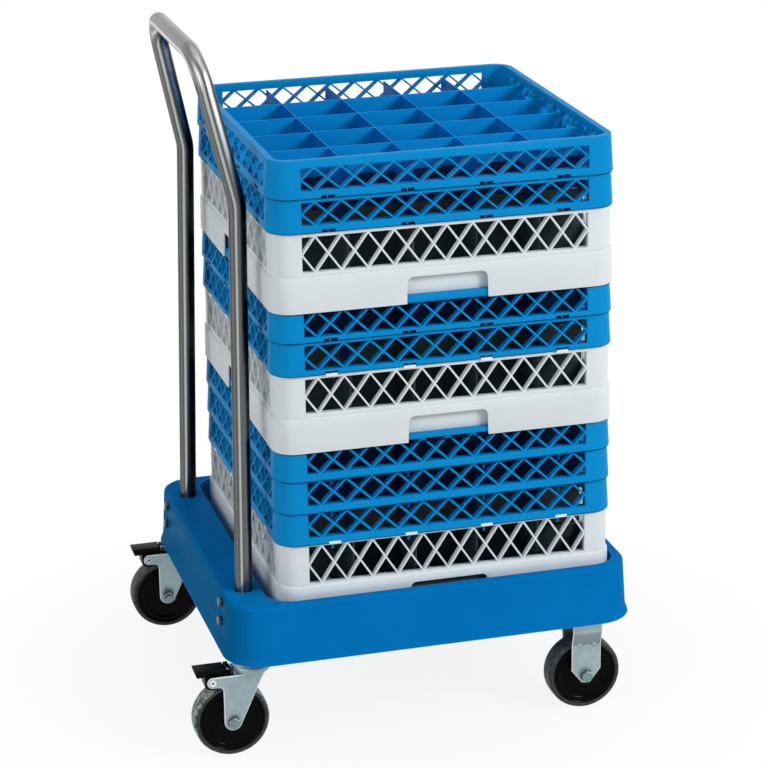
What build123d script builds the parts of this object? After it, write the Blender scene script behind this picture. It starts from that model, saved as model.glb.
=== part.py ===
from build123d import *
import os
from math import atan, cos, degrees, radians, sin, sqrt

os.makedirs("parts", exist_ok=True)

# Millimetres. The floor is z = 0, the push handle is at -X and +Z is up.

# Wheels
wheel_diameter = 110.0
wheel_width = 32.0
hub_diameter = 96.0
hub_length = 37.4
hub_boss_diameter = 27.0
hub_dish = 4.0
tyre_shoulder = 4.0
tyre_fit = 0.05

# Wheel axles
axle_diameter = 10.0
running_fit = 0.06
shank_fit = 0.15
axle_across_flats = 16.0
axle_head_height = 6.4
nut_height = 8.0
bolt_end = 3.0

# Caster forks
caster_height = 144.0
plate_thickness = 4.0
fork_gap = 38.0
fork_sheet = 3.0
fork_lug_radius = 13.0
fork_inner_round = 7.0
caster_inset = 14.0
rigid_inset = 43.0
swivel_outset = 43.0
swivel_trail = 32.0
swivel_plate = 62.0
rigid_plate_length = 74.0
rigid_plate_width = 62.0
rigid_fork_width = 45.0
rigid_tip_width = 12.0
rigid_kink_height = 104.5
rigid_flare = 6.0
rigid_flange = 19.0
rigid_tip_drop = 12.0
rigid_shoulder_rise = 9.0

# Swivel head
race_height = 12.7
race_diameter = 54.0
race_neck_diameter = 42.0
head_gap = 0.3
kingpin_diameter = 12.0
kingpin_head_diameter = 22.0
kingpin_head_height = 5.0
fork_shoulder = 15.0

# Brake pedals
pivot_back = 28.0
pivot_rise = 64.0
pivot_diameter = 8.0
arm_end_radius = 8.0
pedal_width = 26.0
pedal_depth = 10.5
pedal_wall = 3.0
pedal_rise = 16.5
pedal_reach = 24.0
pedal_heel = 20.0
pedal_neck = 9.5
shoe_gap = 0.6
shoe_lead = 8.0
shoe_tail = 20.0

# Racks
rack_side = 500.0
rack_corner = 32.0
rack_draft = 3.4
skirt_wall = 2.6
lattice_wall = 10.0
diamond_count = 11
diamond_rib = 2.6
window_margin = 44.0

extender_pitch = 48.0
extender_overlap = 5.0
extender_rail = 13.0
extender_window = 33.5
extender_count = (3, 2, 2)

base_pitch = 114.0
base_overlap = 11.0
base_skirt = 50.5
base_rail = 57.0
base_window = 52.4
base_liner_wall = 3.0
base_floor = 3.0
base_ledge = 2.5
floor_cells = 3
floor_bar = 12.0
hand_hold_width = 115.0
hand_hold_height = 38.5

# Compartment dividers of each set of racks
divider_count = 4
divider_pitch = 92.0
divider_sheet = 1.8
divider_drop = 12.0
divider_fit = 0.15

# Deck
deck_top = 230.0
deck_side_gap = 6.0
deck_shelf_gap = 16.0
deck_rim = 15.0
deck_shelf = 56.0
deck_corner = 48.0
deck_draft = 4.5
deck_lip = 4.5
deck_lip_height = 12.0
deck_wall = 5.0
deck_floor = 6.0
deck_edge_round = 6.0
rack_seat = 195.0
recess_corner = 38.0
rib_wall = 5.0
rib_rise = 8.0
middle_rib_depth = 12.0
pad_margin = 1.5
pad_thickness = 8.0

# Push handle
tube_diameter = 25.0
tube_wall = 1.5
foot_spacing = 392.0
bend_spacing = 350.0
grip_spacing = 302.0
leg_inset = 31.5
leg_lean = 12.0
leg_foot = 156.0
handle_bend_height = 794.0
handle_top = 997.0
handle_reach = 45.0
grip_corner = 60.0
lean_corner = 70.0
socket_wall = 6.0
socket_fit = 0.2
handle_bolt_heights = (187.0, 215.0)
handle_bolt_diameter = 8.0
handle_bolt_across_flats = 13.0
handle_bolt_head_height = 5.3
handle_bolt_end = 7.0

# Places worked out from the sizes
wheel_radius = wheel_diameter / 2
axle_radius = axle_diameter / 2
fork_half = fork_gap / 2 + fork_sheet
track_half = rack_side / 2 - caster_inset
rigid_offset = rack_side / 2 - rigid_inset
swivel_offset = rack_side / 2 + swivel_outset
window_width = rack_side - 2 * window_margin
pedal_tip = swivel_offset + swivel_trail + pivot_back + pedal_reach
deck_front = rack_side / 2 + deck_side_gap + deck_rim
deck_back = rack_side / 2 + deck_shelf_gap + deck_shelf
deck_side = rack_side / 2 + deck_side_gap + deck_rim
deck_flare = deck_draft + deck_lip
stack_x = (pedal_tip - deck_front - deck_flare) / 2
deck_mid = stack_x + (deck_front - deck_back) / 2
deck_length = deck_front + deck_back
deck_width = 2 * deck_side
recess_length = rack_side + deck_side_gap + deck_shelf_gap
recess_mid = stack_x + (deck_side_gap - deck_shelf_gap) / 2
recess_width = rack_side + 2 * deck_side_gap
swivel_x = stack_x - swivel_offset
rigid_x = stack_x + rigid_offset
wheel_x = swivel_x - swivel_trail
pivot_x = wheel_x - pivot_back
pivot_z = wheel_radius + pivot_rise
plate_bottom = caster_height - plate_thickness
fork_top = plate_bottom - race_height - head_gap
leg_x = stack_x - deck_back + leg_inset
foot_half = foot_spacing / 2
bend_half = bend_spacing / 2
grip_half = grip_spacing / 2
wall_outside = stack_x - deck_back


def save(built, name):
    """Label a finished piece and write it."""
    built.part.label = name
    export_step(built.part, f"parts/{name}.step")


def hex_bolt(end, direction, across_flats, head_height, shank_radius, shank_length):
    """Add one hex bolt whose head seats at the point and whose shank runs along the direction."""
    with BuildSketch(Plane(origin=end, z_dir=[-value for value in direction])) as head:
        RegularPolygon(across_flats / 2, 6, major_radius=False)
    extrude(head.sketch, amount=head_height)
    with BuildSketch(Plane(origin=end, z_dir=direction)) as shank:
        Circle(shank_radius)
    extrude(shank.sketch, amount=shank_length)


def deck_outline(height, spread):
    """Sketch the deck's rounded outline on a level plane, wider all round by the spread."""
    with BuildSketch(Plane.XY.offset(height)) as outline:
        with Locations((deck_mid, 0)):
            RectangleRounded(deck_length + 2 * spread, deck_width + 2 * spread, deck_corner + spread)
    return outline.sketch


# Stiffeners: the ribs and caster pads of the deck's underside, trimmed to its outline
draft_height = deck_top - caster_height - deck_lip_height
draft_angle = degrees(atan(deck_draft / draft_height))
lip_angle = degrees(atan(deck_lip / deck_lip_height))
recess_under = rack_seat - deck_floor
rib_x = (
    swivel_x - swivel_plate / 3,
    swivel_x + swivel_plate / 3,
    rigid_x - rigid_plate_length / 3,
    rigid_x + rigid_plate_length / 3,
)
with BuildPart() as stiffeners:
    with BuildSketch(Plane.XY.offset(caster_height + rib_rise)):
        for x in rib_x:
            with Locations((x, 0)):
                Rectangle(rib_wall, deck_width)
        for y in (-track_half, track_half):
            with Locations((deck_mid, y)):
                Rectangle(deck_length, rib_wall)
    extrude(amount=recess_under - caster_height - rib_rise)
    with BuildSketch(Plane.XY.offset(recess_under - middle_rib_depth)):
        with Locations((stack_x, 0)):
            Rectangle(rib_wall, deck_width)
        with Locations((deck_mid, 0)):
            Rectangle(deck_length, rib_wall)
    extrude(amount=middle_rib_depth)
    with BuildSketch(Plane.XY.offset(caster_height)):
        for side in (-1, 1):
            with Locations((swivel_x, side * track_half)):
                Rectangle(swivel_plate + 2 * pad_margin, swivel_plate + 2 * pad_margin)
            with Locations((rigid_x, side * track_half)):
                Rectangle(rigid_plate_length + 2 * pad_margin, rigid_plate_width + 2 * pad_margin)
    extrude(amount=pad_thickness)
    extrude(deck_outline(caster_height, -deck_wall / 2), amount=deck_top - caster_height, mode=Mode.INTERSECT)

# Deck: one moulding with a sunk rack recess, a shelf for the handle and a hollow underside
lean = leg_lean / (handle_bend_height - deck_top)
foot_x = leg_x - lean * (deck_top - leg_foot)
closing = (foot_half - bend_half) / (handle_bend_height - leg_foot)
socket_outer = tube_diameter + 2 * socket_wall
with BuildPart() as deck:
    extrude(deck_outline(caster_height, deck_flare), amount=deck_lip_height, taper=lip_angle)
    extrude(deck_outline(caster_height + deck_lip_height, deck_draft), amount=draft_height, taper=draft_angle)
    fillet(deck.faces().sort_by(Axis.Z)[-1].outer_wire().edges(), deck_edge_round)
    with BuildSketch(Plane.XY.offset(rack_seat)):
        with Locations((recess_mid, 0)):
            RectangleRounded(recess_length, recess_width, recess_corner)
    extrude(amount=deck_top - rack_seat, mode=Mode.SUBTRACT)
    hollow = deck_outline(caster_height, deck_draft - deck_wall)
    extrude(hollow, amount=recess_under - caster_height, taper=draft_angle, mode=Mode.SUBTRACT)
    shelf_low = wall_outside + deck_wall
    shelf_high = wall_outside + deck_shelf - deck_wall
    with BuildSketch(Plane.XY.offset(recess_under)):
        with Locations(((shelf_low + shelf_high) / 2, 0)):
            Rectangle(shelf_high - shelf_low, deck_width - 2 * deck_corner)
    extrude(amount=deck_top - deck_floor - recess_under, mode=Mode.SUBTRACT)
    add(stiffeners.part)
    with BuildSketch(Plane.XY.offset(leg_foot)):
        for side in (-1, 1):
            with Locations(((wall_outside + leg_x + socket_outer / 2) / 2, side * foot_half)):
                Rectangle(leg_x + socket_outer / 2 - wall_outside, socket_outer)
    extrude(amount=deck_top - deck_floor - leg_foot)
    for side in (-1, 1):
        foot = Plane(origin=(foot_x, side * foot_half, leg_foot), z_dir=(lean, -side * closing, 1))
        with BuildSketch(foot.offset(-socket_wall)):
            Circle(tube_diameter / 2 + socket_fit)
        extrude(amount=deck_top - leg_foot + 2 * socket_wall, mode=Mode.SUBTRACT)
        for height in handle_bolt_heights:
            bolt_y = side * (foot_half - closing * (height - leg_foot))
            with BuildSketch(Plane(origin=(wall_outside - deck_draft, bolt_y, height), z_dir=(1, 0, 0))):
                Circle(handle_bolt_diameter / 2 + shank_fit)
            extrude(amount=deck_draft + leg_inset, mode=Mode.SUBTRACT)
save(deck, "deck")

# Handle: one bent tube whose legs lean and close in a little, then slope back to the grip
bend_x = leg_x + leg_lean
grip_x = bend_x - handle_reach
with BuildPart() as handle:
    with BuildLine() as handle_line:
        FilletPolyline(
            (foot_x, -foot_half, leg_foot),
            (bend_x, -bend_half, handle_bend_height),
            (grip_x, -grip_half, handle_top),
            (grip_x, grip_half, handle_top),
            (bend_x, bend_half, handle_bend_height),
            (foot_x, foot_half, leg_foot),
            radius=(lean_corner, grip_corner, grip_corner, lean_corner),
        )
    with BuildSketch(Plane(origin=handle_line.line @ 0, z_dir=handle_line.line % 0)):
        Circle(tube_diameter / 2)
        Circle(tube_diameter / 2 - tube_wall, mode=Mode.SUBTRACT)
    sweep()
    for side in (-1, 1):
        for height in handle_bolt_heights:
            bolt_y = side * (foot_half - closing * (height - leg_foot))
            with BuildSketch(Plane(origin=(leg_x - tube_diameter, bolt_y, height), z_dir=(1, 0, 0))):
                Circle(handle_bolt_diameter / 2 + shank_fit)
            extrude(amount=tube_diameter, mode=Mode.SUBTRACT)
save(handle, "handle")

# Handle bolts: hex heads on the outside of the deck's back wall
with BuildPart() as handle_bolts:
    hex_corner = handle_bolt_across_flats / sqrt(3)
    for side in (-1, 1):
        for height in handle_bolt_heights:
            seat_x = wall_outside - deck_draft / draft_height * (deck_top - height + hex_corner)
            bolt_y = side * (foot_half - closing * (height - leg_foot))
            hex_bolt((seat_x, bolt_y, height), (1, 0, 0), handle_bolt_across_flats, handle_bolt_head_height,
                     handle_bolt_diameter / 2, leg_x + handle_bolt_end - seat_x)
save(handle_bolts, "handle_bolts")


def build_wheel(name, x, y):
    """Build one wheel: a shallow dished hub with a bonded tyre, turning on the axle bolt."""
    centre = (x, y, wheel_radius)
    spin = Axis(centre, (0, 1, 0))
    across = Plane(origin=centre, x_dir=(0, 1, 0), z_dir=(1, 0, 0))
    bore = axle_radius + running_fit
    boss = hub_boss_diameter / 2
    rim = hub_diameter / 2
    with BuildPart() as hub:
        with BuildSketch(across):
            with BuildLine():
                Polyline(
                    (-hub_length / 2, bore),
                    (-hub_length / 2, boss),
                    (hub_dish - wheel_width / 2, boss + hub_dish),
                    (1 - wheel_width / 2, rim),
                    (wheel_width / 2 - 1, rim),
                    (wheel_width / 2 - hub_dish, boss + hub_dish),
                    (hub_length / 2, boss),
                    (hub_length / 2, bore),
                    close=True,
                )
            make_face()
        revolve(axis=spin)
    save(hub, f"{name}_hub")
    with BuildPart() as tyre:
        with BuildSketch(across):
            with BuildLine():
                Polyline(
                    (-wheel_width / 2, rim + tyre_fit),
                    (-wheel_width / 2, wheel_radius - tyre_shoulder),
                    (tyre_shoulder - wheel_width / 2, wheel_radius),
                    (wheel_width / 2 - tyre_shoulder, wheel_radius),
                    (wheel_width / 2, wheel_radius - tyre_shoulder),
                    (wheel_width / 2, rim + tyre_fit),
                    close=True,
                )
            make_face()
        revolve(axis=spin)
    save(tyre, f"{name}_tyre")


def build_axle(name, x, y, outward):
    """Build one axle bolt and its nut, the head on the outside of the dolly."""
    with BuildPart() as bolt:
        hex_bolt((x, y + outward * fork_half, wheel_radius), (0, -outward, 0), axle_across_flats, axle_head_height,
                 axle_radius, 2 * fork_half + nut_height + bolt_end)
    save(bolt, f"{name}_axle_bolt")
    with BuildPart() as nut:
        with BuildSketch(Plane(origin=(x, y - outward * fork_half, wheel_radius), z_dir=(0, -outward, 0))):
            RegularPolygon(axle_across_flats / 2, 6, major_radius=False)
            Circle(axle_radius, mode=Mode.SUBTRACT)
        extrude(amount=nut_height)
    save(nut, f"{name}_axle_nut")


def build_swivel_caster(name, y, outward):
    """Build the fork, swivel head and brake of one swivel caster."""
    head_top = fork_top - fork_sheet - head_gap
    with BuildPart() as head:
        with BuildSketch(Plane.XY.offset(plate_bottom)):
            with Locations((swivel_x, y)):
                Rectangle(swivel_plate, swivel_plate)
        extrude(amount=plate_thickness)
        with BuildSketch(Plane(origin=(swivel_x, y, plate_bottom), x_dir=(1, 0, 0), z_dir=(0, -1, 0))):
            with BuildLine():
                Polyline(
                    (0, 0),
                    (race_neck_diameter / 2, 0),
                    (race_diameter / 2, -race_height / 2),
                    (race_diameter / 2, -race_height),
                    (kingpin_diameter / 2, -race_height),
                    (kingpin_diameter / 2, head_top - plate_bottom),
                    (kingpin_head_diameter / 2, head_top - plate_bottom),
                    (kingpin_head_diameter / 2, head_top - plate_bottom - kingpin_head_height),
                    (0, head_top - plate_bottom - kingpin_head_height),
                    close=True,
                )
            make_face()
        revolve(axis=Axis((swivel_x, y, 0), (0, 0, 1)))
    save(head, f"{name}_swivel_head")

    # Fork: two cheeks with a long arm for the pedal pivot, joined by a flat crown
    front_x = swivel_x + fork_shoulder
    back_x = wheel_x - fork_lug_radius
    slant = sqrt((front_x - wheel_x) ** 2 + (fork_top - wheel_radius) ** 2)
    lug_x = wheel_x + fork_lug_radius * (fork_top - wheel_radius) / slant
    lug_z = wheel_radius - fork_lug_radius * (front_x - wheel_x) / slant
    with BuildPart() as fork:
        for cheek in (-1, 1):
            with BuildSketch(Plane(origin=(0, y + cheek * fork_half, 0), x_dir=(1, 0, 0), z_dir=(0, -1, 0))):
                with BuildLine():
                    Polyline(
                        (pivot_x, pivot_z + arm_end_radius),
                        (swivel_x - race_diameter / 2, fork_top),
                        (front_x, fork_top),
                        (lug_x, lug_z),
                        (back_x, wheel_radius),
                        (back_x, pivot_z - arm_end_radius),
                        (pivot_x, pivot_z - arm_end_radius),
                        close=True,
                    )
                outline = make_face()
                inner_corner = Vector(back_x, pivot_z - arm_end_radius)
                nearest = outline.vertices().sort_by_distance(inner_corner)[0]
                fillet(nearest, fork_inner_round)
                with Locations((wheel_x, wheel_radius)):
                    Circle(fork_lug_radius)
                with Locations((pivot_x, pivot_z)):
                    Circle(arm_end_radius)
                    Circle(pivot_diameter / 2 + shank_fit, mode=Mode.SUBTRACT)
                with Locations((wheel_x, wheel_radius)):
                    Circle(axle_radius + shank_fit, mode=Mode.SUBTRACT)
            extrude(amount=cheek * fork_sheet)
        with BuildSketch(Plane.XY.offset(fork_top - fork_sheet)):
            with Locations(((front_x + swivel_x - race_diameter / 2) / 2, y)):
                Rectangle(front_x - swivel_x + race_diameter / 2, 2 * fork_half)
            with Locations((swivel_x, y)):
                Circle(kingpin_diameter / 2 + running_fit, mode=Mode.SUBTRACT)
        extrude(amount=fork_sheet)
    save(fork, f"{name}_fork")

    # Pedal: a hooded foot plate and a brake shoe in one lever, between the fork's arms
    shoe = sqrt(pivot_back ** 2 + pivot_rise ** 2) - wheel_radius - shoe_gap
    under = pedal_rise - pedal_depth
    with BuildPart() as pedal:
        with BuildSketch(Plane(origin=(pivot_x, y, pivot_z), x_dir=(1, 0, 0), z_dir=(0, -1, 0))):
            with BuildLine():
                Polyline(
                    (-pedal_reach, pedal_rise),
                    (pedal_heel, pedal_rise),
                    (pedal_heel, under),
                    (pedal_neck, under),
                    (pedal_neck, -pedal_neck / 2),
                    (shoe * sin(radians(shoe_lead)), -shoe * cos(radians(shoe_lead))),
                    (-shoe * sin(radians(shoe_tail)), -shoe * cos(radians(shoe_tail))),
                    (-pedal_neck, -pedal_neck),
                    (-pedal_neck, under),
                    (-pedal_reach + pedal_wall, under),
                    close=True,
                )
            make_face()
            Circle(pivot_diameter / 2 + running_fit, mode=Mode.SUBTRACT)
        extrude(amount=pedal_width / 2, both=True)
        hood_low = pivot_z + under
        hood_front = pivot_x - pedal_reach + 2 * pedal_wall
        hood_back = pivot_x - pedal_neck - pedal_wall
        with BuildSketch(Plane.XY.offset(hood_low)):
            with Locations(((hood_front + hood_back) / 2, y)):
                Rectangle(hood_back - hood_front, pedal_width - 2 * pedal_wall)
        extrude(amount=pedal_depth - pedal_wall, mode=Mode.SUBTRACT)
    save(pedal, f"{name}_brake_pedal")
    with BuildPart() as pin:
        with BuildSketch(Plane(origin=(pivot_x, y, pivot_z), z_dir=(0, 1, 0))):
            Circle(pivot_diameter / 2)
        extrude(amount=fork_half + 1.0, both=True)
    save(pin, f"{name}_pedal_pin")
    build_wheel(name, wheel_x, y)
    build_axle(name, wheel_x, y, outward)


def build_rigid_caster(name, y, outward):
    """Build one rigid caster: a pressed fork with a kinked neck under its own top plate."""
    tip = wheel_radius - rigid_tip_drop
    flange_low = caster_height - rigid_flange
    plate_under = caster_height - fork_sheet
    with BuildPart() as fork:
        with BuildSketch(Plane(origin=(rigid_x, y, 0), x_dir=(0, 1, 0), z_dir=(1, 0, 0))):
            for cheek in (-1, 1):
                with BuildLine():
                    Polyline(
                        (cheek * fork_half, tip),
                        (cheek * fork_half, rigid_kink_height),
                        (cheek * (fork_half + rigid_flare), flange_low),
                        (cheek * (fork_half + rigid_flare), plate_under),
                        (cheek * (fork_gap / 2 + rigid_flare), plate_under),
                        (cheek * (fork_gap / 2 + rigid_flare), flange_low),
                        (cheek * fork_gap / 2, rigid_kink_height),
                        (cheek * fork_gap / 2, tip),
                        close=True,
                    )
                make_face()
        extrude(amount=rigid_fork_width / 2, both=True)
        corner_x = rigid_fork_width / 2
        with BuildSketch(Plane(origin=(rigid_x, y, 0), x_dir=(1, 0, 0), z_dir=(0, -1, 0))):
            for end in (-1, 1):
                with BuildLine():
                    Polyline(
                        (end * corner_x, tip),
                        (end * rigid_tip_width / 2, tip),
                        (end * corner_x, wheel_radius + rigid_shoulder_rise),
                        close=True,
                    )
                make_face()
            with Locations((0, wheel_radius)):
                Circle(axle_radius + shank_fit)
        extrude(amount=rigid_plate_width, both=True, mode=Mode.SUBTRACT)
        with BuildSketch(Plane.XY.offset(plate_under)):
            with Locations((rigid_x, y)):
                Rectangle(rigid_plate_length, rigid_plate_width)
        extrude(amount=fork_sheet)
    save(fork, f"{name}_fork")
    build_wheel(name, rigid_x, y)
    build_axle(name, rigid_x, y, outward)


for side_name, side in (("right", -1), ("left", 1)):
    build_swivel_caster(f"rear_{side_name}", side * track_half, side)
    build_rigid_caster(f"front_{side_name}", side * track_half, side)


def cut_lattice(rail, height, wall_line):
    """Cut a window of crossed ribs through each of the four walls of a rack."""
    pitch = window_width / diamond_count
    half_diagonal = sqrt((pitch / 2) ** 2 + (height / 2) ** 2)
    shrink = 1 - diamond_rib / 2 * half_diagonal / (pitch / 2 * height / 2)
    half_x = pitch / 2 * shrink
    half_z = height / 2 * shrink
    diamond = ((-half_x, 0), (0, -half_z), (half_x, 0), (0, half_z))
    for turn in range(4):
        angle = radians(90 * turn)
        outward = (sin(angle), -cos(angle), 0)
        along = (cos(angle), sin(angle), 0)
        origin = (outward[0] * wall_line, outward[1] * wall_line, rail + height / 2)
        with BuildSketch(Plane(origin=origin, x_dir=along, z_dir=outward)) as row:
            with GridLocations(pitch, 0, diamond_count, 1):
                Polygon(*diamond)
            with GridLocations(pitch, height, diamond_count + 1, 2):
                Polygon(*diamond)
            Rectangle(window_width, height, mode=Mode.INTERSECT)
        extrude(row.sketch, amount=-2 * lattice_wall, mode=Mode.SUBTRACT)


# Extender form: a low square frame with a lattice in each wall and a skirt that caps the rack below
rack_top = rack_side - 2 * rack_draft
extender_height = extender_pitch + extender_overlap
skirt_inner = rack_side - 2 * skirt_wall
liner = rack_top - 2 * lattice_wall
liner_corner = rack_corner - rack_draft - lattice_wall
with BuildPart() as extender_form:
    with BuildSketch(Plane.XY):
        RectangleRounded(rack_side, rack_side, rack_corner)
    extrude(amount=extender_height, taper=degrees(atan(rack_draft / extender_height)))
    with BuildSketch(Plane.XY):
        RectangleRounded(skirt_inner, skirt_inner, rack_corner - skirt_wall)
    extrude(amount=extender_overlap, mode=Mode.SUBTRACT)
    with BuildSketch(Plane.XY):
        RectangleRounded(liner, liner, liner_corner)
    extrude(amount=extender_height, mode=Mode.SUBTRACT)
    cut_lattice(extender_rail, extender_window, rack_side / 2 + 1)

# Base rack form: latticed upper wall, ledge, plain skirt with a hand hold in each side, and an open floor
base_height = base_pitch + extender_overlap
liner_outer = liner + 2 * base_liner_wall
floor_top = base_overlap + base_floor
with BuildPart() as base_form:
    with BuildSketch(Plane.XY):
        RectangleRounded(rack_side, rack_side, rack_corner)
    extrude(amount=base_skirt)
    with BuildSketch(Plane.XY.offset(base_skirt)):
        RectangleRounded(rack_top, rack_top, rack_corner - rack_draft)
    extrude(amount=base_height - base_skirt)
    with BuildSketch(Plane.XY):
        RectangleRounded(skirt_inner, skirt_inner, rack_corner - skirt_wall)
    extrude(amount=base_overlap, mode=Mode.SUBTRACT)
    with BuildSketch(Plane.XY.offset(base_overlap)):
        RectangleRounded(skirt_inner, skirt_inner, rack_corner - skirt_wall)
        RectangleRounded(liner_outer, liner_outer, liner_corner + base_liner_wall, mode=Mode.SUBTRACT)
    extrude(amount=base_skirt - base_ledge - base_overlap, mode=Mode.SUBTRACT)
    with BuildSketch(Plane.XY.offset(floor_top)):
        RectangleRounded(liner, liner, liner_corner)
    extrude(amount=base_height - floor_top, mode=Mode.SUBTRACT)
    cell = (liner - floor_bar) / floor_cells - floor_bar
    with BuildSketch(Plane.XY.offset(base_overlap)):
        with GridLocations(cell + floor_bar, cell + floor_bar, floor_cells, floor_cells):
            Rectangle(cell, cell)
    extrude(amount=base_floor, mode=Mode.SUBTRACT)
    with BuildSketch(Plane.XY):
        Rectangle(hand_hold_width, rack_side + 2)
        Rectangle(rack_side + 2, hand_hold_width)
        Rectangle(liner_outer + skirt_wall, liner_outer + skirt_wall, mode=Mode.SUBTRACT)
    extrude(amount=hand_hold_height, mode=Mode.SUBTRACT)
    cut_lattice(base_rail, base_window, rack_side / 2 + 1)

# Dividers: half-lapped sheets that make the compartments of one set, from its window to below its rim
sheet_length = liner - 2 * divider_fit
sheet_notch = divider_sheet + 2 * divider_fit


def build_dividers(name, low, high):
    """Build the crossed sheets of one set of racks."""
    height = high - low
    notch_depth = height / 2 + divider_fit
    with BuildPart() as dividers:
        for direction in (0, 1):
            for index in range(divider_count):
                offset = (index - (divider_count - 1) / 2) * divider_pitch
                if direction == 0:
                    face = Plane(origin=(stack_x, offset, high), x_dir=(1, 0, 0), z_dir=(0, -1, 0))
                    notch_top = 0
                else:
                    face = Plane(origin=(stack_x + offset, 0, high), x_dir=(0, 1, 0), z_dir=(1, 0, 0))
                    notch_top = notch_depth - height
                with BuildSketch(face) as sheet:
                    Rectangle(sheet_length, height, align=(Align.CENTER, Align.MAX))
                    with Locations((0, notch_top)):
                        with GridLocations(divider_pitch, 0, divider_count, 1):
                            Rectangle(sheet_notch, notch_depth, align=(Align.CENTER, Align.MAX), mode=Mode.SUBTRACT)
                extrude(sheet.sketch, amount=divider_sheet / 2, both=True)
    save(dividers, name)


# Racks: three sets in a stack, each a base rack under its extenders
level = rack_seat
for set_name, extenders in zip(("lower", "middle", "upper"), extender_count):
    set_floor = level
    with BuildPart() as base_rack:
        with Locations((stack_x, 0, level)):
            add(base_form.part)
    save(base_rack, f"{set_name}_base_rack")
    level += base_pitch
    for number in range(extenders):
        with BuildPart() as extender:
            with Locations((stack_x, 0, level)):
                add(extender_form.part)
        save(extender, f"{set_name}_extender_{number + 1}")
        level += extender_pitch
    set_rim = level + extender_overlap
    build_dividers(f"{set_name}_dividers", set_floor + base_rail, set_rim - divider_drop)
    level = set_rim - base_overlap
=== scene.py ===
import math

import bmesh
import bpy
from mathutils import Matrix, Vector


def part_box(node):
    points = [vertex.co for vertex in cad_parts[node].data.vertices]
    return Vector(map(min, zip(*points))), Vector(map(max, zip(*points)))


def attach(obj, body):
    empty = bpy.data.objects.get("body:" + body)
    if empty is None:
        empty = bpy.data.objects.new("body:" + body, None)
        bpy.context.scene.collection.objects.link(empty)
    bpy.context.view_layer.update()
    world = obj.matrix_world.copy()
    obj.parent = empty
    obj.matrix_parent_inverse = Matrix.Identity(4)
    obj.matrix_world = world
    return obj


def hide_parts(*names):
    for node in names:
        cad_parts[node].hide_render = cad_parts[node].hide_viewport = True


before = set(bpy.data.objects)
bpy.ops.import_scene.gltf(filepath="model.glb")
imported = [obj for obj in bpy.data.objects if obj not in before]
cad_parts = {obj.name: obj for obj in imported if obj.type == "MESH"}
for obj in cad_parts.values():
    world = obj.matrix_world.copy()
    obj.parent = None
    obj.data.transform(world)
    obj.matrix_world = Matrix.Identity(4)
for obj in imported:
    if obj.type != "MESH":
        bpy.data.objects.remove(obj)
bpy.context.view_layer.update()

MM = 0.001


def box_mm(node):
    """The lowest and highest corner of a CAD node, in millimetres."""
    low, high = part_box(node)
    return low / MM, high / MM


def half_height(node):
    """Half of a CAD node's height in millimetres, which is the radius of a wheel."""
    low, high = box_mm(node)
    return (high.z - low.z) / 2


# Racks, from the frame: every size here is in millimetres
rack_low, rack_high = box_mm("lower_base_rack")
STACK_X = (rack_low.x + rack_high.x) / 2
RACK_HALF = (rack_high.x - rack_low.x) / 2
BASE_HEIGHT = rack_high.z - rack_low.z
EXTENDER_HEIGHT = 2 * half_height("lower_extender_1")
RACK_DRAFT = 3.4
RIM_HALF = RACK_HALF - RACK_DRAFT
SKIRT_INSIDE = RACK_HALF - 2.6
LATTICE_WALL = 10.0
LINER_HALF = RIM_HALF - LATTICE_WALL
LINER_OUTSIDE = LINER_HALF + 3.0
LINER_LOW, LINER_TOP = 11.0, 48.0
CORNER_CENTRE = RACK_HALF - 32.0
CORNER_STEPS = 8
DIAMONDS = 11
WINDOW_HALF = RACK_HALF - 44.0
PITCH = 2 * WINDOW_HALF / DIAMONDS
EXTENDER_WINDOWS = {"lower": (10.4, 45.3), "middle": (6.9, 42.2), "upper": (10.4, 41.8)}
BASE_WINDOWS = {"lower": (53.5, 110.2), "middle": (57.0, 107.6), "upper": (57.0, 107.6)}
BASE_SKIRT = 50.5
SKIRT_LAP = 5.0
HOLD_HALF, HOLD_TOP, HOLD_LEAN = 59.0, 38.5, 0.03
NOTCH_HEIGHT = 3.6
RIM_NOTCH = SKIRT_LAP - 0.4
NOTCH_CENTRES = [PITCH * number for number in (-4.5, -1.5, 1.5, 4.5)]
NOTCH_HALF = 9.5
NOTCH_PIN = (-1.9, -0.4)
FLOOR_BARS, FLOOR_PITCH, FLOOR_BAR_HALF = 13, 38.0, 2.5
SHEET_PITCH, SHEET_THICK = 92.0, 1.8
SETS = {"lower": 3, "middle": 2, "upper": 2}
FORK_BEND = 104.5


# Node trees


def operator(operation, swapped=False):
    """A Python operator that adds a Math node."""

    def apply(self, other):
        pair = [other, self] if swapped else [self, other]
        return self.graph.node("ShaderNodeMath", {"operation": operation}, pair)

    return apply


class Sock:
    """A node's output, with Math nodes built from Python expressions."""

    def __init__(self, graph, link):
        self.graph = graph
        self.link = link

    __add__ = __radd__ = operator("ADD")
    __mul__ = __rmul__ = operator("MULTIPLY")
    __sub__ = operator("SUBTRACT")
    __rsub__ = operator("SUBTRACT", swapped=True)
    __truediv__ = operator("DIVIDE")
    __rtruediv__ = operator("DIVIDE", swapped=True)


def set_stops(ramp, stops):
    """Give a ramp its stops, each a place with a grey or a colour."""
    while len(ramp.elements) < len(stops):
        ramp.elements.new(0.5)
    for element, (place, shade) in zip(ramp.elements, stops):
        element.position = place
        element.color = (*shade, 1) if isinstance(shade, tuple) else (shade, shade, shade, 1)


def rgba(value):
    """A colour for a socket: a link as it is, or three numbers and full alpha."""
    return value if isinstance(value, Sock) else (*value, 1)


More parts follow.
